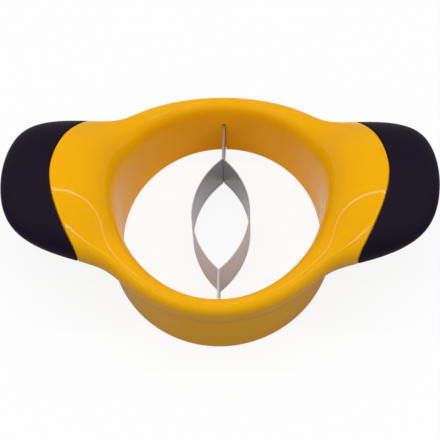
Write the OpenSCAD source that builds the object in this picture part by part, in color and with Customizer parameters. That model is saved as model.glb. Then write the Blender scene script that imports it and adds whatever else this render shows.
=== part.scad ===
// Mango slicer: a hollow oval ring with two raised wings, soft grips on the wing ends,
// and two bowed steel blades that cut a cheek off each side of the stone.
// +X runs along the wings, +Y to the rear, +Z up. The ring stands on Z = 0.

/* [Ring] */
// Width of the opening, left to right
opening_w = 100; // [88:0.5:108]
// Depth of the opening, front to back
opening_d = 113; // [100:0.5:124]
// Thickness of the hollow ring at its left and right
ring_side_t = 6.1; // [5.4:0.1:10]
// Thickness of the hollow ring at its front and back
ring_end_t = 8.3; // [7.4:0.1:12]
// Height of the straight part of the bore
bore_h = 20; // [18:0.5:24]
// Rounding of the foot's outer edge
foot_r = 2; // [0.8:0.1:3]

/* [Rim and wings] */
// Length over both wing tips
length = 208; // [196:1:240]
// Width of a wing, front to back
wing_w = 83.6; // [74:0.2:92]
// Radius of the wing tip in plan
tip_r = 71; // [60:1:100]
// Squareness of the wing's corners in plan
wing_square = 6.1; // [3.5:0.1:7]
// Tightness of the inner corner between ring and wing
corner_tight = 16; // [11:0.5:20]
// Overhang of the rim past the foot at left and right
rim_side_over = 11.1; // [8:0.1:14]
// Overhang of the rim past the foot at front and back
rim_end_over = 0.8; // [0.6:0.1:3]
// Height of the rim's edge at front and back
edge_front_z = 30.1; // [27:0.1:34]
// Height of the edge at the wing tips
edge_tip_z = 51.4; // [44:0.1:56]
// Half width over which the edge stays nearly level at front and back
edge_level = 12; // [8:0.5:24]
// Depth of the edge below its widest line
edge_drop = 5.6; // [4.4:0.1:7]
// Rise of the crest above the edge at front and back
crest_front = 4.5; // [3.4:0.1:6]
// Rise of the crest above the edge along the wings
crest_wing = 7; // [5.4:0.1:9]
// Distance of the crest in from the edge at front and back
crest_in_front = 4.5; // [3.4:0.1:5]
// Distance of the crest in from the wing tips
crest_in_wing = 27; // [26:0.5:36]
// How square the flare from the bore to the crest is at front and back: 2 is an ellipse
flare_front = 6.2; // [3:0.1:8]
// How square the flare is towards the wings
flare_wing = 4; // [2.8:0.1:5]
// Slope of the fillet under the wings
under_slope = 0.3; // [0.2:0.01:0.4]

/* [Shells] */
// Wall of both shells
wall = 2; // [1.6:0.1:2.2]
// Floor that closes the ring from below
floor_t = 2; // [1.5:0.1:3]
// Weld line between the two shells
weld_gap = 0.1; // [0.05:0.01:0.2]

/* [Grips] */
// Length of a grip from the wing tip to the middle of its seam
grip_l = 24.2; // [20:0.2:25.6]
// How far outside the rim's front and back the seam's oval would run
seam_out = 10.8; // [8:0.2:14]
// Thickness of the soft layer
grip_t = 1.8; // [1.2:0.1:2]
// Open groove along the seam
seam_gap = 0.4; // [0.2:0.05:0.8]
// Width at which a grip's pointed ends stop
grip_end_w = 1.2; // [0.8:0.1:2]
// Bond line between the soft layer and the wing's core
bond_gap = 0.15; // [0.12:0.01:0.25]

/* [Blades] */
// Length of the space between the blades
lens_l = 67.6; // [56:0.2:80]
// Width of the space between the blades
lens_w = 28.1; // [22:0.1:40]
// Thickness of the blade strip
blade_t = 0.5; // [0.4:0.05:0.8]
// Height of the blades' lower edge
blade_z = 0.4; // [0.2:0.1:1.4]
// Height of the blade strip
blade_h = 20.6; // [16:0.2:21]
// Width of the bent end that hooks behind the bore wall
hook_w = 4; // [2.5:0.1:6]
// Clearance of the blades in their slots
slot_gap = 0.25; // [0.15:0.05:0.4]

/* [Keepers] */
// Width of a keeper block
keeper_w = 11; // [9:0.2:14]
// Height of a keeper block
keeper_h = 16; // [10:0.5:17]
// Clearance of a keeper block all round
keeper_gap = 0.1; // [0.05:0.01:0.2]
// Thickness of the ribs that stand beside a keeper block
rib_t = 1.2; // [0.8:0.1:2]
// Height of those ribs above the floor
rib_h = 4; // [2:0.5:8]

/* [Hidden] */
$fn = 96;

// How steeply the edge climbs towards the tips, how the crest and the flare follow the wing,
// how late along the wing the crest leaves the edge, how far the seam's curve is from an oval,
// and how close the flare's points lie near the bore
edge_power = 1.52;
crest_power = 2;
crest_in_power = 1.4;
seam_power = 1.8;
flare_power = 1.6;

// Counts of points along the sections and of angles around the ring
shoulder_n = 8;
top_n = 2;
core_n = 4;
edge_n = 3;
under_n = 2;
fillet_n = 3;
foot_n = 3;
grip_angles = 10;
ring_angles = 13;

// Largest shares of the top that lie inside the seam and its groove where there is no grip,
// the least share of the underside outside them, and the step's width as an angle
seam_limit = 0.93;
groove_limit = 0.99;
under_limit = 0.05;
step_angle = 0.6;
// Depth of the grip's recess as a share of the width outside the seam, where that is narrow
grip_end_share = 0.4;

bore_x = opening_w / 2;
bore_y = opening_d / 2;
base_x = bore_x + ring_side_t;
base_y = bore_y + ring_end_t;
rim_x = base_x + rim_side_over;
rim_y = base_y + rim_end_over;
tip_x = length / 2;
seam_x = tip_x - grip_l;
seam_y = rim_y + seam_out;
blade_top = blade_z + blade_h;
cut = 1;

// Radius of a blade's bow, from its length and half width along the middle of the strip
bow_w = lens_w / 2 + blade_t / 2;
bow_r = (pow(lens_l / 2, 2) + pow(bow_w, 2)) / (2 * bow_w);
// The blades' hooks stand behind the bore wall, and clear the floor
hook_y = bore_y + wall + slot_gap;
hook_z = floor_t + keeper_gap;
// A keeper block reaches from the hooks to the outer wall
keeper_near = hook_y + blade_t + keeper_gap;
keeper_far = (base_y - wall) * sqrt(1 - pow(keeper_w / 2 / (base_x - wall), 2)) - keeper_gap;

yellow = [0.93, 0.69, 0.02];
black = [0.13, 0.11, 0.16];
steel = [0.72, 0.72, 0.74];
cream = [0.9, 0.88, 0.8];

// Plan radii at an angle f round the ring

function oval(a, b, f) = 1 / sqrt(pow(cos(f) / a, 2) + pow(sin(f) / b, 2));
function bore_r(f) = oval(bore_x, bore_y, f);
function base_r(f) = oval(base_x, base_y, f);
function rim_r(f) = oval(rim_x, rim_y, f);
function seam_r(f) = pow(
    pow(abs(cos(f)) / seam_x, seam_power) + pow(abs(sin(f)) / seam_y, seam_power),
    -1 / seam_power);

// Distance to a tip arc of radius tip_r, smoothly limited by the wing's straight sides
function wing_r(f) = let(
    c = abs(cos(f)),
    s = max(abs(sin(f)), 0.001),
    back = tip_x - tip_r,
    tip = back * c + sqrt(tip_r * tip_r - pow(back * s, 2)),
    side = wing_w / 2 / s
) pow(pow(tip, -wing_square) + pow(side, -wing_square), -1 / wing_square);

function edge_r(f) = pow(pow(rim_r(f), corner_tight) + pow(wing_r(f), corner_tight), 1 / corner_tight);

// How much of the edge is wing at an angle f: 0 on the plain rim, 1 at the tips
function wing_share(f) = (edge_r(f) - rim_r(f)) / (tip_x - rim_x);

function climb(x) = sqrt(x * x + edge_level * edge_level) - edge_level;
function edge_z(f) = edge_front_z
    + (edge_tip_z - edge_front_z) * pow(climb(edge_r(f) * cos(f)) / climb(tip_x), edge_power);
function crest_r(f) = edge_r(f) - crest_in_front
    - (crest_in_wing - crest_in_front) * pow(wing_share(f), crest_in_power);
function crest_z(f) = edge_z(f) + crest_front + (crest_wing - crest_front) * pow(abs(cos(f)), crest_power);

// Underside: how far the edge's lower rounding runs in, where it ends, and the fillet's height
function lip_run(f) = let(over = edge_r(f) - base_r(f)) edge_drop * over / (edge_drop + over);
function under_r(f) = edge_r(f) - lip_run(f);
function under_z(f) = edge_z(f) - edge_drop;
function fillet_h(f) = under_slope * (under_r(f) - base_r(f));

// Depth of the grip's recess: full along the wing and fading to nothing at the seam's ends
function recess(f) = max(0, min(grip_t, grip_end_share * (edge_r(f) - seam_r(f))));

// Angle where the wing's edge stands out from the seam by a given width
function seam_end(width, low = 4, high = 60, left = 30) =
    left == 0 ? low :
    let(mid = (low + high) / 2)
    edge_r(mid) - seam_r(mid) > width ? seam_end(width, mid, high, left - 1) : seam_end(width, low, mid, left - 1);

grip_end = seam_end(grip_end_w);
seam_stop = seam_end(0);

// Points [r, z] on the surfaces, at a depth d below the outer skin

function flare(f) = flare_front + (flare_wing - flare_front) * pow(abs(cos(f)), crest_power);
function shoulder_at(f, i, d, side) = let(t = 90 * pow(i / shoulder_n, flare_power)) [
    crest_r(f) - (crest_r(f) - bore_r(f) - side) * cos(t),
    bore_h + (crest_z(f) - d - bore_h) * pow(sin(t), 2 / flare(f))
];
function top_at(f, t, d) = [
    crest_r(f) + (edge_r(f) - d - crest_r(f)) * sin(t),
    edge_z(f) + (crest_z(f) - d - edge_z(f)) * cos(t)
];
function lip_at(f, t, d) = [
    edge_r(f) - d - lip_run(f) * (1 - cos(t)),
    edge_z(f) - (edge_drop - d) * sin(t)
];
function under_at(f, s, d, side) = [
    under_r(f) - d - (under_r(f) - d - base_r(f) + side) * sin(s),
    under_z(f) + d - fillet_h(f) * (1 - cos(s))
];

// The inside of the underside, which follows the grip's recess and not the wall below it
function under_inside(f, s) = under_at(f, s, wall + recess(f) * (1 - sin(s)), wall);

// Angles on the top and the underside where a plan radius r lies, at a depth d
function top_angle(f, r, d, limit) =
    asin(min(limit, (r - crest_r(f)) / (edge_r(f) - d - crest_r(f))));
function under_angle(f, r, d) =
    asin(max(under_limit, (under_r(f) - d - r) / (under_r(f) - d - base_r(f))));

// The same where the soft layer starts, past the groove
function top_groove(f, d) = top_angle(f, seam_r(f) + seam_gap, d, groove_limit);
function under_groove(f, d) = under_angle(f, seam_r(f) + seam_gap, d);

function upper_section(f) = let(
    d = recess(f),
    inner = d + wall,
    seam = top_angle(f, seam_r(f), 0, seam_limit),
    groove = top_groove(f, d)
) concat(
    [[bore_r(f), 0]],
    [for (i = [0:shoulder_n]) shoulder_at(f, i, 0, 0)],
    [for (i = [1:top_n]) top_at(f, seam * i / top_n, 0)],
    [top_at(f, seam + step_angle, d)],
    [for (i = [0:core_n]) top_at(f, groove + (90 - groove) * i / core_n, d)],
    [for (i = [core_n:-1:1]) top_at(f, 90 * i / core_n, inner)],
    [for (i = [shoulder_n:-2:0]) shoulder_at(f, i, inner, wall)],
    [[bore_r(f) + wall, 0]]
);

function lower_section(f) = let(
    d = recess(f),
    inner = d + wall,
    groove = under_groove(f, d),
    seam = max(under_angle(f, seam_r(f), d), groove + step_angle),
    out = max(under_angle(f, seam_r(f), 0), seam) + step_angle,
    sunk = [0, -weld_gap],
    mouth = bore_r(f) + wall + weld_gap
) concat(
    [lip_at(f, 0, d) + sunk],
    [for (i = [1:edge_n]) lip_at(f, 90 * i / edge_n, d)],
    [for (i = [1:under_n]) under_at(f, groove * i / under_n, d, 0)],
    [under_at(f, seam, d, 0)],
    [for (i = [0:fillet_n]) under_at(f, out + (90 - out) * i / fillet_n, 0, 0)],
    [for (i = [0:foot_n]) let(t = 90 * i / foot_n)
        [base_r(f) - foot_r * (1 - cos(t)), foot_r * (1 - sin(t))]],
    [[mouth, 0], [mouth, floor_t], [base_r(f) - wall, floor_t]],
    [for (i = [fillet_n:-1:0]) under_inside(f, 90 * i / fillet_n)],
    [for (i = [edge_n - 1:-1:1]) lip_at(f, 90 * i / edge_n, inner)],
    [lip_at(f, 0, inner) + sunk]
);

// The soft layer's outer line, from the seam on top, round the edge, to the seam underneath
function grip_line(f, d) = let(
    top = top_groove(f, d),
    under = under_groove(f, d)
) concat(
    [for (i = [0:core_n]) top_at(f, top + (90 - top) * i / core_n, d)],
    [for (i = [1:edge_n]) lip_at(f, 90 * i / edge_n, d)],
    [for (i = [1:under_n]) under_at(f, under * i / under_n, d, 0)]
);
function reversed(list) = [for (i = [len(list) - 1:-1:0]) list[i]];
function grip_section(f) = concat(grip_line(f, 0), reversed(grip_line(f, recess(f) - bond_gap)));

// Angles round the ring: close together near the ends of the seams, where the recess fades out
grip_side = [for (i = [0:grip_angles]) grip_end * sin(90 * i / grip_angles)];
ring_side = [for (i = [0:ring_angles]) seam_stop + (90 - seam_stop) * i / ring_angles];
quarter = concat(grip_side, ring_side);
quarter_n = len(quarter);
around = concat(
    quarter,
    [for (i = [quarter_n - 2:-1:0]) 180 - quarter[i]],
    [for (i = [1:quarter_n - 1]) 180 + quarter[i]],
    [for (i = [quarter_n - 2:-1:1]) 360 - quarter[i]]
);
across_grip = concat([for (i = [grip_angles:-1:1]) -grip_side[i]], grip_side);

function placed(section, f) = [for (p = section) [p[0] * cos(f), p[0] * sin(f), p[1]]];
function flat(lists) = [for (list = lists) for (item = list) item];

// Triangles between neighbouring sections of m points, for a closed ring of n sections
function ring_faces(n, m) = flat([for (i = [0:n - 1]) for (j = [0:m - 1]) let(
    k = (i + 1) % n,
    l = (j + 1) % m
) [[i * m + j, k * m + l, i * m + l], [i * m + j, k * m + j, k * m + l]]]);

// The same for an open run of sections, with both ends closed across a folded outline.
// The quads are split the other way, so that the run's inside lies flat on the ring's outside.
function run_faces(n, m) = concat(
    flat([for (i = [0:n - 2]) for (j = [0:m - 1]) let(l = (j + 1) % m)
        [[i * m + j, i * m + m + j, i * m + l], [i * m + m + j, i * m + m + l, i * m + l]]]),
    flat([for (j = [0:m / 2 - 2])
        [[j, m - 2 - j, m - 1 - j], [j, j + 1, m - 2 - j]]]),
    flat([for (j = [0:m / 2 - 2]) let(e = (n - 1) * m)
        [[e + j, e + m - 1 - j, e + m - 2 - j], [e + j, e + m - 2 - j, e + j + 1]]])
);

module closed_loft(sections) {
    polyhedron(points = flat(sections), faces = ring_faces(len(sections), len(sections[0])));
}

module open_loft(sections) {
    polyhedron(points = flat(sections), faces = run_faces(len(sections), len(sections[0])));
}

// Opening for the pair of blade tails, through the bore wall at one end
module blade_slot() {
    width = 2 * (blade_t + slot_gap);
    translate([-width / 2, bore_y - cut, -cut])
        cube([width, cut + wall + cut, cut + blade_top + slot_gap]);
}

module upper_shell() {
    color(yellow) difference() {
        closed_loft([for (f = around) placed(upper_section(f), f)]);
        blade_slot();
        rotate([0, 0, 180]) blade_slot();
    }
}

// Ribs on the floor at both sides of a keeper block, rooted in the floor and the outer wall
module keeper_ribs() {
    depth = keeper_far + keeper_gap + wall / 2 - keeper_near;
    for (m = [0, 1]) mirror([m, 0, 0])
        translate([keeper_w / 2 + keeper_gap, keeper_near, floor_t / 2])
            cube([rib_t, depth, floor_t / 2 + rib_h]);
}

module lower_shell() {
    color(yellow) {
        closed_loft([for (f = around) placed(lower_section(f), f)]);
        keeper_ribs();
        rotate([0, 0, 180]) keeper_ribs();
    }
}

module bow() {
    intersection() {
        translate([bow_w - bow_r, 0]) difference() {
            circle(r = bow_r + blade_t / 2);
            circle(r = bow_r - blade_t / 2);
        }
        translate([0, -lens_l / 2 - blade_t]) square([lens_w, lens_l + 2 * blade_t]);
    }
}

// Straight tail from the end of the bow to a given distance from the middle
module tail(reach) {
    start = lens_l / 2 - blade_t;
    translate([0, start]) square([blade_t, reach - start]);
}

module blade() {
    color(steel) {
        translate([0, 0, blade_z]) linear_extrude(blade_h) {
            bow();
            tail(bore_y + wall);
            mirror([0, 1]) tail(bore_y + wall);
        }
        translate([0, 0, hook_z]) linear_extrude(blade_top - hook_z) for (m = [0, 1]) mirror([0, m]) {
            tail(hook_y + blade_t);
            translate([0, hook_y]) square([hook_w, blade_t]);
        }
    }
}

module right_blade() {
    blade();
}

module left_blade() {
    mirror([1, 0, 0]) blade();
}

// Block between the blades' hooks and the ring's outer wall, with a groove for the weld bead
module keeper() {
    depth = keeper_far - keeper_near;
    groove = depth / 3;
    color(cream) translate([0, keeper_near, floor_t]) difference() {
        translate([-keeper_w / 2, 0, 0]) cube([keeper_w, depth, keeper_h]);
        translate([-groove / 2, -cut, -cut]) cube([groove, cut + groove, keeper_h + 2 * cut]);
    }
}

module rear_keeper() {
    keeper();
}

module front_keeper() {
    rotate([0, 0, 180]) keeper();
}

module right_grip() {
    color(black) open_loft([for (f = across_grip) placed(grip_section(f), f)]);
}

module left_grip() {
    rotate([0, 0, 180]) right_grip();
}

upper_shell();
lower_shell();
left_blade();
right_blade();
front_keeper();
rear_keeper();
left_grip();
right_grip();
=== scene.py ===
import math
from types import SimpleNamespace

import bpy
from mathutils import Matrix, Vector


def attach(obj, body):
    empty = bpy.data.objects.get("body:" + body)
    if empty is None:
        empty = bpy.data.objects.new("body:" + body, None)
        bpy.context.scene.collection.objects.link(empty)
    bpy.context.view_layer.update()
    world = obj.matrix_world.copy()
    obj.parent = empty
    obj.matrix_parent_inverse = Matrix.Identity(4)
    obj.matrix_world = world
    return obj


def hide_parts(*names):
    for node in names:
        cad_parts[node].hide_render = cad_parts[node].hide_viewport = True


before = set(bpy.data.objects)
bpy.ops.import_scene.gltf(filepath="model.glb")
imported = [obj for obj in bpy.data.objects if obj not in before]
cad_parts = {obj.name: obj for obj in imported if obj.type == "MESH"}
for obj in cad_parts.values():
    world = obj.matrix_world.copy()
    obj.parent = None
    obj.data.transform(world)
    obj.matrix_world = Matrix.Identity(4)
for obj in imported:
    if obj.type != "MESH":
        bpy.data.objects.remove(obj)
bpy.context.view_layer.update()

MM = 0.001
TURN = 2 * math.pi
QUARTER = math.pi / 2

# The part's sizes in millimetres: half sizes of the ovals in plan, heights, walls and gaps
SIZES_MM = dict(
    bore_x=50, bore_y=56.5, base_x=56.1, base_y=64.8, rim_x=67.2, rim_y=65.6, seam_x=79.8, seam_y=76.4,
    bore_h=20, foot_r=2, wall=2, floor_t=2,
    tip_x=104, tip_r=71, wing_w=83.6,
    edge_front_z=30.1, edge_tip_z=51.4, edge_level=12, edge_drop=5.6,
    crest_front=4.5, crest_wing=7, crest_in_front=4.5, crest_in_wing=27,
    grip_t=1.8, grip_end_w=0.1, seam_gap=0.4, bond_gap=0.06, weld_gap=0.02,
    bore_edge=0.5, seam_edge=0.5, grip_edge=0.4,
)
SIZES = {name: value * MM for name, value in SIZES_MM.items()}

# Powers, slopes and shares that shape the body's lines
WING_SQUARE = 6.1
CORNER_TIGHT = 16
EDGE_POWER = 1.52
CREST_IN_POWER = 1.4
SEAM_POWER = 1.8
FLARE_FRONT, FLARE_WING = 6.2, 4
FLARE_POWER = 1.6
UNDER_SLOPE = 0.3
RECESS_SHARE = 0.4
SEAM_LIMIT = 0.985
SEAM_EDGE_SHARE = 0.6
GRIP_EDGE_SHARE = 0.5
SMALLEST_SINE = 0.001

# How finely the skins are divided, and where their edges stay sharp
RING_ARCS = 720
GRIP_ARCS = 240
END_HALVINGS = 50
MERGE_WITHIN = 0.002 * MM
BODY_CREASE, BLADE_CREASE = 35, 20

# Blades and the slots that they enter
BLADE_T = 0.5 * MM
BLADE_Z = 0.4 * MM
BLADE_TOP = 21.0 * MM
GRIND_H = 1.6 * MM
GRIND_SHARE = 0.16
LENS_L = 67.6 * MM
LENS_W = 28.1 * MM
BOW_STEPS = 96
BEND_R = 0.8 * MM
BEND_STEPS = 6
STRAIGHT = math.radians(176)
HOOK_W = 4 * MM
HOOK_Y = 58.75 * MM
HOOK_Z = 2.1 * MM
HOOK_MARGIN = 0.2 * MM
SLOT_GAP = 0.25 * MM
SLOT_MARGIN = 1 * MM
SLOT_REACH = 3 * MM

# Studio: the floor with its brighter oval under the opening, the lamps and the sky
FLOOR_HALF = 4
FLOOR_Z = -0.1 * MM
FLOOR_GLOW = 0.88
OVAL_X, OVAL_Y = 52 * MM, 59 * MM
OVAL_REACH, OVAL_FADE = 1.08, 8
BAR_L, BAR_W = 2.4, 0.03
BAR_Z = 0.75
REAR_BAR_Y, FRONT_BAR_Y = 0.24, -0.29
BAR_AIM_Z = 0.03
BAR_POWER = 3.7
BAR_DOTS = 54
SKY_STRENGTH = 0.42

# The photograph's camera: angles in radians, lengths in millimetres
CAMERA_LIFT, CAMERA_TURN, CAMERA_ROLL = 0.9526, 0.0714, -0.0508
CAMERA_TARGET = -0.536, -0.4375, 15
CAMERA_DISTANCE = 600
PIXELS_PER_MM = 2.0043
IMAGE_W = 440
SENSOR_W = 36


class Value:
    """A node's output, which takes part in Python expressions."""

    def __init__(self, graph, socket):
        self.graph = graph
        self.socket = socket

    def output(self, name):
        """Another output of the same node."""
        return Value(self.graph, self.socket.node.outputs[name])

    def math(self, operation, *operands):
        """A Math node on values and numbers."""
        return self.graph.node("ShaderNodeMath", {"operation": operation}, dict(enumerate(operands)))

    def __add__(self, other):
        return self.math("ADD", self, other)

    def __radd__(self, other):
        return self.math("ADD", other, self)

    def __sub__(self, other):
        return self.math("SUBTRACT", self, other)

    def __rsub__(self, other):
        return self.math("SUBTRACT", other, self)

    def __mul__(self, other):
        return self.math("MULTIPLY", self, other)

    def __rmul__(self, other):
        return self.math("MULTIPLY", other, self)

    def __truediv__(self, other):
        return self.math("DIVIDE", self, other)

    def __rtruediv__(self, other):
        return self.math("DIVIDE", other, self)

    def __pow__(self, other):
        return self.math("POWER", self, other)

    def __neg__(self):
        return self.math("MULTIPLY", self, -1)

    def __abs__(self):
        return self.math("ABSOLUTE", self)


def either_way(operation, plain):
    """A function that adds a Math node for values, and works plain numbers out in Python."""
    def work(*operands):
        for operand in operands:
            if isinstance(operand, Value):
                return operand.math(operation, *operands)
        return plain(*operands)
    return work


sin = either_way("SINE", math.sin)
cos = either_way("COSINE", math.cos)
asin = either_way("ARCSINE", math.asin)
acos = either_way("ARCCOSINE", math.acos)
sqrt = either_way("SQRT", math.sqrt)
least = either_way("MINIMUM", min)
most = either_way("MAXIMUM", max)


def share(value):
    """A value held between 0 and 1."""
    return most(0, least(1, value))


class Graph:
    """A node tree that is being built."""

    def __init__(self, tree):
        self.tree = tree

    def node(self, kind, settings=None, sockets=None):
        """Adds a node: its settings first, then the values or links of its sockets."""
        made = self.tree.nodes.new(kind)
        for name, value in (settings or {}).items():
            if name == "items":
                while len(made.index_switch_items) < value:
                    made.index_switch_items.new()
            else:
                setattr(made, name, value)
        for name, value in (sockets or {}).items():
            for item in value if isinstance(value, list) else [value]:
                if isinstance(item, Value):
                    self.tree.links.new(item.socket, made.inputs[name])
                else:
                    made.inputs[name].default_value = item
        return Value(self, made.outputs[0]) if made.outputs else None

    def blend(self, factor, first, second):
        """A colour between two others."""
        mixed = self.node("ShaderNodeMix", {"data_type": "RGBA"}, {0: factor, 6: first, 7: second})
        return mixed.output(2)


# The body's form, by the same rules as the part's source

def body_at(size, f):
    """Plan radii and heights of the body's lines, at an angle f round the ring."""
    c, s = cos(f), sin(f)
    cross, along = abs(c), most(abs(s), SMALLEST_SINE)

    def oval(x, y):
        return 1 / sqrt((c / x) * (c / x) + (s / y) * (s / y))

    def climb(x):
        return sqrt(x * x + size.edge_level * size.edge_level) - size.edge_level

    bore_r = oval(size.bore_x, size.bore_y)
    base_r = oval(size.base_x, size.base_y)
    rim_r = oval(size.rim_x, size.rim_y)
    seam_r = ((cross / size.seam_x) ** SEAM_POWER + (abs(s) / size.seam_y) ** SEAM_POWER) ** (-1 / SEAM_POWER)

    back = size.tip_x - size.tip_r
    tip = back * cross + sqrt(size.tip_r * size.tip_r - (back * along) * (back * along))
    side = size.wing_w / 2 / along
    wing_r = (tip ** -WING_SQUARE + side ** -WING_SQUARE) ** (-1 / WING_SQUARE)
    edge_r = (rim_r ** CORNER_TIGHT + wing_r ** CORNER_TIGHT) ** (1 / CORNER_TIGHT)

    wing = most(0, edge_r - rim_r) / (size.tip_x - size.rim_x)
    risen = (climb(edge_r * c) / climb(size.tip_x)) ** EDGE_POWER
    edge_z = size.edge_front_z + (size.edge_tip_z - size.edge_front_z) * risen
    crest_in = size.crest_in_front + (size.crest_in_wing - size.crest_in_front) * wing ** CREST_IN_POWER
    crest_r = edge_r - crest_in
    crest_z = edge_z + size.crest_front + (size.crest_wing - size.crest_front) * (c * c)

    over = edge_r - base_r
    lip_run = size.edge_drop * over / (size.edge_drop + over)
    under_r = edge_r - lip_run
    return SimpleNamespace(
        c=c, s=s, bore_r=bore_r, base_r=base_r, seam_r=seam_r, edge_r=edge_r, edge_z=edge_z,
        crest_r=crest_r, crest_z=crest_z, lip_run=lip_run, under_r=under_r,
        fillet_h=UNDER_SLOPE * (under_r - base_r),
        recess=most(0, least(size.grip_t, RECESS_SHARE * (edge_r - seam_r))),
        bore_h=size.bore_h, drop=size.edge_drop,
        flare=FLARE_FRONT + (FLARE_WING - FLARE_FRONT) * (c * c),
    )


def shoulder_at(body, v, depth=0, side=0):
    """A point on the flare from the bore up to the crest, for v from 0 to 1."""
    t = QUARTER * v ** FLARE_POWER
    r = body.crest_r - (body.crest_r - body.bore_r - side) * cos(t)
    return r, body.bore_h + (body.crest_z - depth - body.bore_h) * sin(t) ** (2 / body.flare)


def top_at(body, t, depth=0):
    """A point on the top, from the crest out to the edge."""
    r = body.crest_r + (body.edge_r - depth - body.crest_r) * sin(t)
    return r, body.edge_z + (body.crest_z - depth - body.edge_z) * cos(t)


def top_angle(body, r, depth=0):
    """The angle at which the top reaches a plan radius."""
    return asin(share((r - body.crest_r) / (body.edge_r - depth - body.crest_r)))


def top_height(body, r, depth=0):
    return top_at(body, top_angle(body, r, depth), depth)[1]


def belly_at(body, t, s, depth=0, side=0):
    """A point below the edge: round the lip by t first, then in along the underside by s."""
    r = (body.edge_r - depth - body.lip_run * (1 - cos(t))
         - (body.under_r - depth - body.base_r + side) * sin(s))
    return r, body.edge_z - (body.drop - depth) * sin(t) - body.fillet_h * (1 - cos(s))


def belly_angles(body, r, depth=0):
    """The two angles at which the lip and the underside reach a plan radius."""
    t = acos(1 - share((body.edge_r - depth - r) / body.lip_run))
    s = asin(share((body.under_r - depth - r) / (body.under_r - depth - body.base_r)))
    return t, s


def belly_height(body, r, depth=0):
    return belly_at(body, *belly_angles(body, r, depth), depth)[1]


class Loft(Graph):
    """Geometry nodes that lay a closed skin in bands, each a grid bent round the ring."""

    def __init__(self, name, arcs, angle):
        super().__init__(bpy.data.node_groups.new(name, "GeometryNodeTree"))
        for size in SIZES:
            self.tree.interface.new_socket(size, in_out="INPUT", socket_type="NodeSocketFloat")
        self.tree.interface.new_socket("Skin", in_out="OUTPUT", socket_type="NodeSocketGeometry")
        group = self.node("NodeGroupInput")
        self.size = SimpleNamespace(**{size: group.output(size) for size in SIZES})
        grid = self.node("ShaderNodeSeparateXYZ", None, {"Vector": self.node("GeometryNodeInputPosition")})
        self.u, self.v = grid + 0.5, grid.output("Y") + 0.5
        self.body = body_at(self.size, angle(self.u))
        self.ends = None
        self.arcs = arcs
        self.bands = []

    def draw_ends_to(self, r, z):
        """Has the first and last sections drawn together at a point, which closes an open run."""
        self.ends = r, z, share(self.arcs * least(self.u, 1 - self.u))

    def band(self, steps, rule):
        """Adds a band, whose rule gives a radius and a height for v from 0 to 1."""
        r, z = rule(self.v)
        if self.ends:
            end_r, end_z, spread = self.ends
            r, z = end_r + (r - end_r) * spread, end_z + (z - end_z) * spread
        place = self.node("ShaderNodeCombineXYZ", None, {"X": r * self.body.c, "Y": r * self.body.s, "Z": z})
        grid = self.node("GeometryNodeMeshGrid", None, {
            "Size X": 1.0, "Size Y": 1.0, "Vertices X": self.arcs + 1, "Vertices Y": steps + 1})
        self.bands.append(self.node("GeometryNodeSetPosition", None, {"Geometry": grid, "Position": place}))

    def straight(self, steps, start, end):
        """Adds a band that runs straight from one line to another."""
        self.band(steps, lambda v: (start[0] + (end[0] - start[0]) * v, start[1] + (end[1] - start[1]) * v))

    def close(self, material, cuts=()):
        """Joins the bands into one skin, takes the cuts out and gives it its material."""
        joined = self.node("GeometryNodeJoinGeometry", None, {"Geometry": self.bands})
        skin = self.node("GeometryNodeMergeByDistance", None, {
            "Geometry": joined, "Distance": MERGE_WITHIN})
        for low, high in cuts:
            box = self.node("GeometryNodeMeshCube", None, {"Size": high - low})
            box = self.node("GeometryNodeTransform", None, {"Geometry": box, "Translation": (low + high) / 2})
            skin = self.node("GeometryNodeMeshBoolean", {"operation": "DIFFERENCE", "solver": "EXACT"},
                             {"Mesh 1": skin, "Mesh 2": [box]})
        end_tree(self, skin, material)


def end_tree(graph, geometry, material):
    """Ends a geometry tree with a real mesh of one material."""
    real = graph.node("GeometryNodeRealizeInstances", None, {"Geometry": geometry})
    done = graph.node("GeometryNodeSetMaterial", None, {"Geometry": real, "Material": material})
    graph.node("NodeGroupOutput", None, {"Skin": done})


def settle(name, graph, values, stands_for, source=None, crease=BODY_CREASE):
    """Makes a plain mesh piece of a geometry tree's result, with its one material, fixed to the body."""
    holder = bpy.data.objects.new(name + "_holder", source or bpy.data.meshes.new(name + "_holder"))
    bpy.context.scene.collection.objects.link(holder)
    rule = holder.modifiers.new("Rule", "NODES")
    rule.node_group = graph.tree
    for item in graph.tree.interface.items_tree:
        if item.in_out == "INPUT" and item.name in values:
            rule[item.identifier] = values[item.name]
    depsgraph = bpy.context.evaluated_depsgraph_get()
    mesh = bpy.data.meshes.new_from_object(holder.evaluated_get(depsgraph), depsgraph=depsgraph)
    bpy.data.objects.remove(holder)
    mesh.name = name
    mesh.polygons.foreach_set("material_index", [0] * len(mesh.polygons))
    while len(mesh.materials) > 1:
        mesh.materials.pop(index=0)
    mesh.shade_smooth()
    mesh.set_sharp_from_angle(angle=math.radians(crease))
    piece = bpy.data.objects.new(name, mesh)
    bpy.context.scene.collection.objects.link(piece)
    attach(piece, "root")
    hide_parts(stands_for)


def full_turn(u):
    """The angle round the whole ring, in the direction that turns the skin's faces outwards."""
    return -TURN * u


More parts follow.
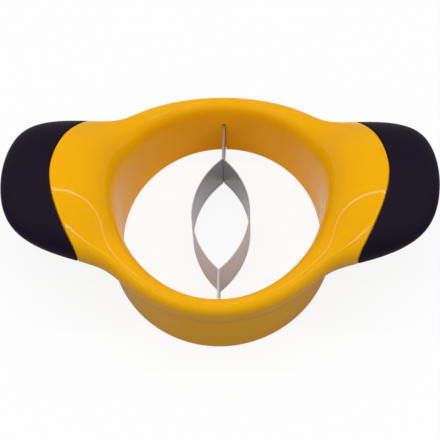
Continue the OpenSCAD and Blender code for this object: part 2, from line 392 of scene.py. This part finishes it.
def make_upper_shell(material):
    """The bore's wall, the shoulder, the rim and the wings' tops, with the blades' slots cut out."""
    loft = Loft("Upper shell", RING_ARCS, full_turn)
    body, size = loft.body, loft.size
    edge = size.bore_edge
    depth = body.recess
    inner = depth + size.wall
    round_r = least(size.seam_edge, depth * SEAM_EDGE_SHARE)
    seam_r = least(body.seam_r, body.crest_r + SEAM_LIMIT * (body.edge_r - body.crest_r))
    seam = top_angle(body, seam_r - round_r)
    groove = top_angle(body, seam_r, depth)

    def seam_round(v):
        r = seam_r - round_r * (1 - sin(QUARTER * v))
        return r, top_height(body, r) - round_r * (1 - cos(QUARTER * v))

    loft.band(4, lambda v: (body.bore_r + edge * (1 - sin(QUARTER * v)), edge * (1 - cos(QUARTER * v))))
    loft.straight(8, (body.bore_r, edge), (body.bore_r, size.bore_h))
    loft.band(30, lambda v: shoulder_at(body, v))
    loft.band(18, lambda v: top_at(body, seam * v))
    loft.band(4, seam_round)
    loft.straight(2, seam_round(1.0), (seam_r, top_height(body, seam_r, depth)))
    loft.band(8, lambda v: top_at(body, groove + (QUARTER - groove) * v, depth))
    loft.straight(1, (body.edge_r - depth, body.edge_z), (body.edge_r - inner, body.edge_z))
    loft.band(8, lambda v: top_at(body, QUARTER * (1 - v), inner))
    loft.band(10, lambda v: shoulder_at(body, 1 - v, inner, size.wall))
    loft.straight(4, (body.bore_r + size.wall, size.bore_h), (body.bore_r + size.wall, 0))
    loft.straight(1, (body.bore_r + size.wall, 0), (body.bore_r + edge, 0))

    half, top = BLADE_T + SLOT_GAP, BLADE_TOP + SLOT_GAP
    near, far = SIZES["bore_y"] - SLOT_MARGIN, SIZES["bore_y"] + SLOT_REACH
    rear = Vector((-half, near, -SLOT_MARGIN)), Vector((half, far, top))
    front = Vector((-half, -far, -SLOT_MARGIN)), Vector((half, -near, top))
    loft.close(material, (rear, front))
    settle("upper_body", loft, SIZES, "upper_shell")


def make_lower_shell(material):
    """The ring's outer wall, its floor and the wings' undersides, up to the weld line at the edge."""
    loft = Loft("Lower shell", RING_ARCS, full_turn)
    body, size = loft.body, loft.size
    depth = body.recess
    inner = depth + size.wall
    round_r = least(size.seam_edge, depth * SEAM_EDGE_SHARE)
    start_t = asin(size.weld_gap / (size.edge_drop - depth))
    deep_t, deep_s = belly_angles(body, body.seam_r, depth)
    seam_t, seam_s = belly_angles(body, body.seam_r - round_r)
    deep_t, seam_t = most(deep_t, start_t), most(seam_t, start_t)
    wall_z = body.edge_z - size.edge_drop - body.fillet_h
    mouth = body.bore_r + size.wall + size.weld_gap
    rim = belly_at(body, start_t, 0, depth)

    def seam_round(v):
        r = body.seam_r - round_r * (1 - cos(QUARTER * v))
        return r, belly_height(body, r) + round_r * (1 - sin(QUARTER * v))

    def foot_round(v):
        a = QUARTER * v
        return body.base_r - size.foot_r * (1 - cos(a)), size.foot_r * (1 - sin(a))

    def inside(v):
        s = QUARTER * (1 - v)
        return belly_at(body, QUARTER, s, size.wall + depth * (1 - sin(s)), size.wall)

    loft.band(8, lambda v: belly_at(body, start_t + (deep_t - start_t) * v, 0, depth))
    loft.band(6, lambda v: belly_at(body, deep_t, deep_s * v, depth))
    loft.straight(2, belly_at(body, deep_t, deep_s, depth), belly_at(body, seam_t, seam_s))
    loft.band(8, lambda v: belly_at(body, seam_t + (QUARTER - seam_t) * v, seam_s))
    loft.band(24, lambda v: belly_at(body, QUARTER, seam_s + (QUARTER - seam_s) * v))
    loft.straight(6, (body.base_r, wall_z), (body.base_r, size.foot_r))
    loft.band(8, foot_round)
    loft.straight(2, (body.base_r - size.foot_r, 0), (mouth, 0))
    loft.straight(1, (mouth, 0), (mouth, size.floor_t))
    loft.straight(1, (mouth, size.floor_t), (body.base_r - size.wall, size.floor_t))
    loft.straight(4, (body.base_r - size.wall, size.floor_t), inside(0.0))
    loft.band(8, inside)
    loft.band(4, lambda v: belly_at(body, QUARTER + (start_t - QUARTER) * v, 0, inner))
    loft.straight(1, belly_at(body, start_t, 0, inner), rim)
    loft.close(material)
    settle("lower_body", loft, SIZES, "lower_shell")


def grip_end():
    """The angle where a grip runs out: its seam and gap come close to the wing's edge."""
    size = SimpleNamespace(**SIZES)
    low, high = 0.1, 1.0
    for _ in range(END_HALVINGS):
        middle = (low + high) / 2
        body = body_at(size, middle)
        if body.edge_r > body.seam_r + size.seam_gap + size.grip_end_w:
            low = middle
        else:
            high = middle
    return low


def make_grip(name, turn, material):
    """A soft layer in the recess round a wing's end, drawn to a point where it runs out."""
    end = grip_end()
    loft = Loft(name, GRIP_ARCS, lambda u: turn + end * sin(QUARTER * (1 - 2 * u)))
    body, size = loft.body, loft.size
    depth = most(0, body.recess - size.bond_gap)
    start_r = least(body.seam_r + size.seam_gap, body.edge_r)
    round_r = least(size.grip_edge, least(depth, body.edge_r - start_r) * GRIP_EDGE_SHARE)
    top = top_angle(body, start_r + round_r)
    top_in = top_angle(body, start_r, depth)
    under_t, under_s = belly_angles(body, start_r + round_r)
    in_t, in_s = belly_angles(body, start_r, depth)
    loft.draw_ends_to(*belly_at(body, under_t / 2, 0, depth / 2))

    def top_round(v):
        r = start_r + round_r * (1 - cos(QUARTER * v))
        return r, top_height(body, r) - round_r * (1 - sin(QUARTER * v))

    def under_round(v):
        r = start_r + round_r * (1 - sin(QUARTER * v))
        return r, belly_height(body, r) + round_r * (1 - cos(QUARTER * v))

    loft.band(4, top_round)
    loft.band(16, lambda v: top_at(body, top + (QUARTER - top) * v))
    loft.band(14, lambda v: belly_at(body, under_t * v, 0))
    loft.band(12, lambda v: belly_at(body, under_t, under_s * v))
    loft.band(4, under_round)
    loft.straight(1, under_round(1.0), belly_at(body, in_t, in_s, depth))
    loft.band(6, lambda v: belly_at(body, in_t, in_s * (1 - v), depth))
    loft.band(6, lambda v: belly_at(body, in_t * (1 - v), 0, depth))
    loft.band(6, lambda v: top_at(body, QUARTER + (top_in - QUARTER) * v, depth))
    loft.straight(1, top_at(body, top_in, depth), top_round(0.0))
    loft.close(material)
    settle(name + "_cover", loft, SIZES, name)


# Blades: a strip with a ground lower edge, swept along a bent path

def rounded(points, radius, steps):
    """A path with its corners rounded."""
    path = [points[0]]
    for before, corner, after in zip(points, points[1:], points[2:]):
        into, out = (before - corner).normalized(), (after - corner).normalized()
        angle = into.angle(out)
        if angle > STRAIGHT:
            path.append(corner)
            continue
        reach = radius / math.tan(angle / 2)
        centre = corner + (into + out).normalized() * (radius / math.sin(angle / 2))
        first, last = corner + into * reach - centre, corner + out * reach - centre
        path += [centre + first.slerp(last, i / steps) * radius for i in range(steps + 1)]
    return path + [points[-1]]


def blade_path(side):
    """The middle line of a blade in plan, from hook to hook."""
    bow_w = LENS_W / 2 + BLADE_T / 2
    bow_r = (LENS_L ** 2 / 4 + bow_w ** 2) / (2 * bow_w)
    tail_x = BLADE_T / 2
    hook_y = HOOK_Y + BLADE_T / 2
    reach = math.acos((tail_x - bow_w + bow_r) / bow_r)
    bow = [Vector((bow_w - bow_r + bow_r * math.cos(a), bow_r * math.sin(a), 0))
           for a in (reach * (2 * i / BOW_STEPS - 1) for i in range(BOW_STEPS + 1))]
    front = [Vector((HOOK_W, -hook_y, 0)), Vector((tail_x, -hook_y, 0))]
    rear = [Vector((tail_x, hook_y, 0)), Vector((HOOK_W, hook_y, 0))]
    path = rounded(front + bow + rear, BEND_R, BEND_STEPS)
    return [Vector((side * p.x, p.y, 0)) for p in path]


def make_blade(name, side, material):
    """A bowed strip whose hooked ends stand higher than its ground edge."""
    path = blade_path(side)
    line = bpy.data.meshes.new(name + "_line")
    line.from_pydata([tuple(p) for p in path], [(i, i + 1) for i in range(len(path) - 1)], [])
    sizes = dict(thickness=BLADE_T, low=BLADE_Z, top=BLADE_TOP, grind=GRIND_H,
                 hook_y=HOOK_Y - HOOK_MARGIN, hook_z=HOOK_Z)
    graph = Graph(bpy.data.node_groups.new(name, "GeometryNodeTree"))
    graph.tree.interface.new_socket("Line", in_out="INPUT", socket_type="NodeSocketGeometry")
    for size in sizes:
        graph.tree.interface.new_socket(size, in_out="INPUT", socket_type="NodeSocketFloat")
    graph.tree.interface.new_socket("Skin", in_out="OUTPUT", socket_type="NodeSocketGeometry")
    group = graph.node("NodeGroupInput")
    half = group.output("thickness") / 2
    edge = half * GRIND_SHARE
    low, top, grind = group.output("low"), group.output("top"), group.output("grind")

    corners = [(edge, low), (half, low + grind), (half, top),
               (-half, top), (-half, low + grind), (-edge, low)]
    spots = {0: graph.node("GeometryNodeInputIndex")}
    for i, (x, z) in enumerate(corners, 1):
        spots[i] = graph.node("ShaderNodeCombineXYZ", None, {"X": x, "Y": -z})
    spot = graph.node("GeometryNodeIndexSwitch", {"data_type": "VECTOR", "items": len(corners)}, spots)
    ring = graph.node("GeometryNodeCurvePrimitiveCircle", None, {"Resolution": len(corners)})
    profile = graph.node("GeometryNodeSetPosition", None, {"Geometry": ring, "Position": spot})
    curve = graph.node("GeometryNodeMeshToCurve", None, {"Mesh": group.output("Line")})
    curve = graph.node("GeometryNodeSetCurveNormal", {"mode": "Z_UP"}, {"Curve": curve})
    strip = graph.node("GeometryNodeCurveToMesh", None, {
        "Curve": curve, "Profile Curve": profile, "Fill Caps": True})

    place = graph.node("ShaderNodeSeparateXYZ", None, {"Vector": graph.node("GeometryNodeInputPosition")})
    behind = graph.node("FunctionNodeCompare", {"operation": "GREATER_THAN"}, {
        "A": abs(place.output("Y")), "B": group.output("hook_y")})
    lifted = graph.node("ShaderNodeCombineXYZ", None, {
        "X": place, "Y": place.output("Y"), "Z": most(place.output("Z"), group.output("hook_z"))})
    strip = graph.node("GeometryNodeSetPosition", None, {
        "Geometry": strip, "Selection": behind, "Position": lifted})
    strip = graph.node("GeometryNodeFlipFaces", None, {"Mesh": strip})
    end_tree(graph, strip, material)
    settle(name + "_strip", graph, sizes, name, line, BLADE_CREASE)


# Finishes

def new_finish(name):
    """A material, its empty node tree and the place on the piece."""
    material = bpy.data.materials.new(name)
    material.use_nodes = True
    material.node_tree.nodes.clear()
    graph = Graph(material.node_tree)
    place = graph.node("ShaderNodeTexCoord").output("Object")
    return material, graph, place


def noise(graph, place, scale, detail=2.0, rough=0.5):
    return graph.node("ShaderNodeTexNoise", None, {
        "Vector": place, "Scale": scale, "Detail": detail, "Roughness": rough})


def relief(graph, height, strength, distance=0.02 * MM):
    return graph.node("ShaderNodeBump", None, {
        "Strength": strength, "Distance": distance, "Height": height})


def finish_with(graph, sockets):
    shader = graph.node("ShaderNodeBsdfPrincipled", None, sockets)
    graph.node("ShaderNodeOutputMaterial", None, {"Surface": shader})


def make_yellow():
    material, graph, place = new_finish("Glossy yellow plastic")
    deep, light = (0.9, 0.425, 0.001, 1), (0.94, 0.455, 0.002, 1)
    cloud = noise(graph, place, scale=28.0, detail=3.0)
    speck = noise(graph, place, scale=1600.0, detail=1.0)
    peel = noise(graph, place, scale=900.0)
    finish_with(graph, {
        "Base Color": graph.blend(cloud, deep, light),
        "Roughness": 0.04 + 0.02 * cloud + 0.01 * speck,
        "Normal": relief(graph, peel, strength=0.05),
        "Specular IOR Level": 0.1})
    return material


def make_black():
    material, graph, place = new_finish("Soft black rubber")
    deep, light = (0.007, 0.0035, 0.0125, 1), (0.011, 0.006, 0.018, 1)
    cloud = noise(graph, place, scale=40.0, detail=3.0)
    grain = noise(graph, place, scale=2600.0)
    finish_with(graph, {
        "Base Color": graph.blend(0.7 * cloud + 0.3 * grain, deep, light),
        "Roughness": 0.48 + 0.12 * cloud,
        "Normal": relief(graph, grain, strength=0.25),
        "Specular IOR Level": 0.08})
    return material


def make_steel():
    material, graph, place = new_finish("Brushed strip steel")
    deep, light = (0.5, 0.48, 0.5, 1), (0.6, 0.58, 0.6, 1)
    stretched = graph.node("ShaderNodeMapping", None, {"Vector": place, "Scale": (120.0, 60.0, 5200.0)})
    streaks = noise(graph, stretched, scale=1.0, detail=3.0, rough=0.6)
    cloud = noise(graph, place, scale=60.0)
    finish_with(graph, {
        "Base Color": graph.blend(0.6 * streaks + 0.4 * cloud, deep, light),
        "Metallic": 1.0,
        "Roughness": 0.26 + 0.1 * streaks,
        "Normal": relief(graph, streaks, strength=0.12, distance=0.01 * MM)})
    return material


def make_cream():
    material, graph, place = new_finish("Plain cream plastic")
    deep, light = (0.72, 0.69, 0.57, 1), (0.78, 0.75, 0.63, 1)
    cloud = noise(graph, place, scale=90.0, detail=3.0)
    grain = noise(graph, place, scale=1800.0, detail=1.0)
    finish_with(graph, {
        "Base Color": graph.blend(cloud, deep, light),
        "Roughness": 0.45 + 0.1 * cloud,
        "Normal": relief(graph, grain, strength=0.15)})
    return material


def make_floor_finish():
    """Pale floor: near white to the eye and in reflections, with a soft trace of shadow.

    It throws less light back at the object, apart from an oval under the opening."""
    material, graph, place = new_finish("Pale studio floor")
    deep, light = (0.3, 0.3, 0.3, 1), (0.32, 0.32, 0.32, 1)
    warm, pale, white = (0.98, 0.9, 0.8, 1), (0.95, 0.95, 0.95, 1), (1, 1, 1, 1)
    cloud = noise(graph, place, scale=3.0)
    path = graph.node("ShaderNodeLightPath")
    clear = share(path.output("Is Camera Ray") + path.output("Is Transmission Ray"))
    mirrored = path.output("Is Glossy Ray")
    oval = graph.node("ShaderNodeMapping", None, {"Vector": place, "Scale": (1 / OVAL_X, 1 / OVAL_Y, 0.0)})
    reach = graph.node("ShaderNodeVectorMath", {"operation": "LENGTH"}, {0: oval}).output("Value")
    inside = share(OVAL_FADE * (OVAL_REACH - reach))
    tone = graph.blend(inside, graph.blend(cloud, deep, light), warm)
    tone = graph.blend(share(clear + mirrored), tone, pale)
    lit = graph.node("ShaderNodeBsdfDiffuse", None, {"Color": tone})
    glow = graph.node("ShaderNodeEmission", None, {"Color": white, "Strength": 1.0})
    both = graph.node("ShaderNodeMixShader", None, {0: FLOOR_GLOW * clear, 1: lit, 2: glow})
    graph.node("ShaderNodeOutputMaterial", None, {"Surface": both})
    return material


# Studio

def make_floor():
    mesh = bpy.data.meshes.new("floor")
    corners = [(x * FLOOR_HALF, y * FLOOR_HALF, 0) for x, y in ((-1, -1), (1, -1), (1, 1), (-1, 1))]
    mesh.from_pydata(corners, [], [(0, 1, 2, 3)])
    mesh.materials.append(make_floor_finish())
    floor = bpy.data.objects.new("floor", mesh)
    floor.location.z = FLOOR_Z
    bpy.context.scene.collection.objects.link(floor)


def make_light_bar(name, y):
    """A long lamp over the object, made up of a row of small soft dots."""
    lamp = bpy.data.lights.new(name, "AREA")
    lamp.shape = "RECTANGLE"
    lamp.size, lamp.size_y = BAR_L, BAR_W
    lamp.energy = BAR_POWER
    lamp.use_nodes = True
    lamp.node_tree.nodes.clear()
    graph = Graph(lamp.node_tree)
    spot = graph.node("ShaderNodeNewGeometry").output("Parametric")
    along = graph.node("ShaderNodeSeparateXYZ", None, {"Vector": spot})
    dots = 1 + cos(TURN * BAR_DOTS * along)
    glow = graph.node("ShaderNodeEmission", None, {"Color": dots, "Strength": 1.0})
    graph.node("ShaderNodeOutputLight", None, {"Surface": glow})
    light = bpy.data.objects.new(name, lamp)
    place = Vector((0, y, BAR_Z))
    aim = Vector((0, 0, BAR_AIM_Z)) - place
    light.matrix_world = Matrix.Translation(place) @ aim.to_track_quat("-Z", "Y").to_matrix().to_4x4()
    bpy.context.scene.collection.objects.link(light)


def make_world():
    world = bpy.data.worlds.new("Studio")
    world.use_nodes = True
    world.node_tree.nodes.clear()
    graph = Graph(world.node_tree)
    sky = graph.node("ShaderNodeBackground", None, {"Color": (1, 1, 1, 1), "Strength": SKY_STRENGTH})
    graph.node("ShaderNodeOutputWorld", None, {"Surface": sky})
    bpy.context.scene.world = world


def make_camera():
    """The camera at the photograph's height, turn and roll."""
    lift, turn, roll = CAMERA_LIFT, CAMERA_TURN, CAMERA_ROLL
    back = Vector((math.sin(turn) * math.cos(lift), -math.cos(turn) * math.cos(lift), math.sin(lift)))
    right = Vector((math.cos(turn), math.sin(turn), 0))
    up = back.cross(right)
    tilted = math.cos(roll) * right + math.sin(roll) * up
    raised = math.cos(roll) * up - math.sin(roll) * right
    place = (Vector(CAMERA_TARGET) + back * CAMERA_DISTANCE) * MM
    lens = bpy.data.cameras.new("Camera")
    lens.sensor_fit = "HORIZONTAL"
    lens.sensor_width = SENSOR_W
    lens.lens = SENSOR_W * PIXELS_PER_MM * CAMERA_DISTANCE / IMAGE_W
    lens.clip_start, lens.clip_end = 0.01, 20
    camera = bpy.data.objects.new("Camera", lens)
    turned = Matrix((tilted, raised, back)).transposed().to_4x4()
    camera.matrix_world = Matrix.Translation(place) @ turned
    bpy.context.scene.collection.objects.link(camera)
    bpy.context.scene.camera = camera


def dress_keepers(material):
    """Gives the keepers, which stay as the CAD made them, their finish."""
    for name in ("front_keeper", "rear_keeper"):
        node = bpy.data.objects[name]
        node.data.materials.clear()
        node.data.materials.append(material)


yellow, black, steel = make_yellow(), make_black(), make_steel()
make_upper_shell(yellow)
make_lower_shell(yellow)
make_grip("right_grip", 0, black)
make_grip("left_grip", math.pi, black)
make_blade("right_blade", 1, steel)
make_blade("left_blade", -1, steel)
dress_keepers(make_cream())

make_camera()
make_floor()
make_world()
make_light_bar("Rear bar", REAR_BAR_Y)
make_light_bar("Front bar", FRONT_BAR_Y)
bpy.context.scene.view_settings.view_transform = "Standard"
